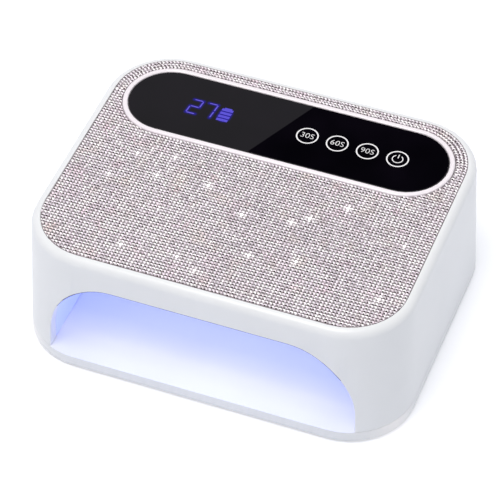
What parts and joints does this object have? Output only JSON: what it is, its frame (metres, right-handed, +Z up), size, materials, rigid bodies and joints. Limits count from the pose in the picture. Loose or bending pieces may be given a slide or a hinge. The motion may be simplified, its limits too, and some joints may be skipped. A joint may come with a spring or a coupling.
{
  "type": "gel nail lamp",
  "caption": "Rounded box nail-curing lamp with an arched hand mouth, stone-covered top, black touch display panel and a lift-off base plate.",
  "frame": {"origin": "centre of the outline on the surface that the feet stand on", "axes": "+Z up, -Y out of the hand mouth towards the user, +X to the user's right"},
  "size_m": [0.2372, 0.191, 0.0886],
  "materials": {
    "white_plastic": "satin moulded",
    "crystals": "faceted stones",
    "black_gloss": "polished",
    "circuit_board": "solder mask",
    "display_face": "tinted",
    "spring_steel": "plated",
    "liner_white": "mirror-smooth",
    "clear_bead": "clear",
    "sensor_black": "tinted",
    "cell_wrap": "shrink wrap",
    "black_plastic": "moulded",
    "cable_grey": "flat cable",
    "lead_red": "insulated",
    "magnet_nickel": "plated",
    "rubber": "matte"
  },
  "bodies": {
    "base": {"base_plate": "white_plastic", "plate_magnet_rear_right": "magnet_nickel", "plate_magnet_rear_left": "magnet_nickel", "plate_magnet_front_left": "magnet_nickel", "plate_magnet_front_right": "magnet_nickel", "foot_rear_right": "rubber", "foot_rear_left": "rubber", "foot_front_left": "rubber", "foot_front_right": "rubber"},
    "lamp": {"outer_housing": "white_plastic", "crystal_cover": "crystals", "display_frame": "white_plastic", "display_lens": "black_gloss", "display_board": "circuit_board", "digit_display": "display_face", "touch_spring_thirty": "spring_steel", "touch_spring_sixty": "spring_steel", "touch_spring_ninety": "spring_steel", "touch_spring_power": "spring_steel", "reflector": "liner_white", "roof_led_board": "circuit_board", "left_led_board": "circuit_board", "right_led_board": "circuit_board", "roof_led_1": "clear_bead", "roof_led_2": "clear_bead", "roof_led_3": "clear_bead", "roof_led_4": "clear_bead", "roof_led_5": "clear_bead", "roof_led_6": "clear_bead", "roof_led_7": "clear_bead", "roof_led_8": "clear_bead", "roof_led_9": "clear_bead", "roof_led_10": "clear_bead", "roof_led_11": "clear_bead", "roof_led_12": "clear_bead", "left_led_1": "clear_bead", "left_led_2": "clear_bead", "left_led_3": "clear_bead", "right_led_1": "clear_bead", "right_led_2": "clear_bead", "right_led_3": "clear_bead", "hand_sensor": "sensor_black", "main_board": "circuit_board", "charging_inlet": "black_plastic", "battery_cradle": "black_plastic", "battery_cell_left": "cell_wrap", "battery_cell_right": "cell_wrap", "display_ribbon": "cable_grey", "battery_lead": "lead_red", "led_lead": "cable_grey", "reflector_screw_rear_right": "spring_steel", "reflector_screw_rear_left": "spring_steel", "reflector_screw_front_left": "spring_steel", "reflector_screw_front_right": "spring_steel", "lamp_magnet_rear_right": "magnet_nickel", "lamp_magnet_rear_left": "magnet_nickel", "lamp_magnet_front_left": "magnet_nickel", "lamp_magnet_front_right": "magnet_nickel"}
  },
  "joints": [
    {"name": "lamp_lift", "type": "slide", "parent": "base", "child": "lamp", "axis": [0, 0, 1], "range_m": [0, 0.04]}
  ]
}
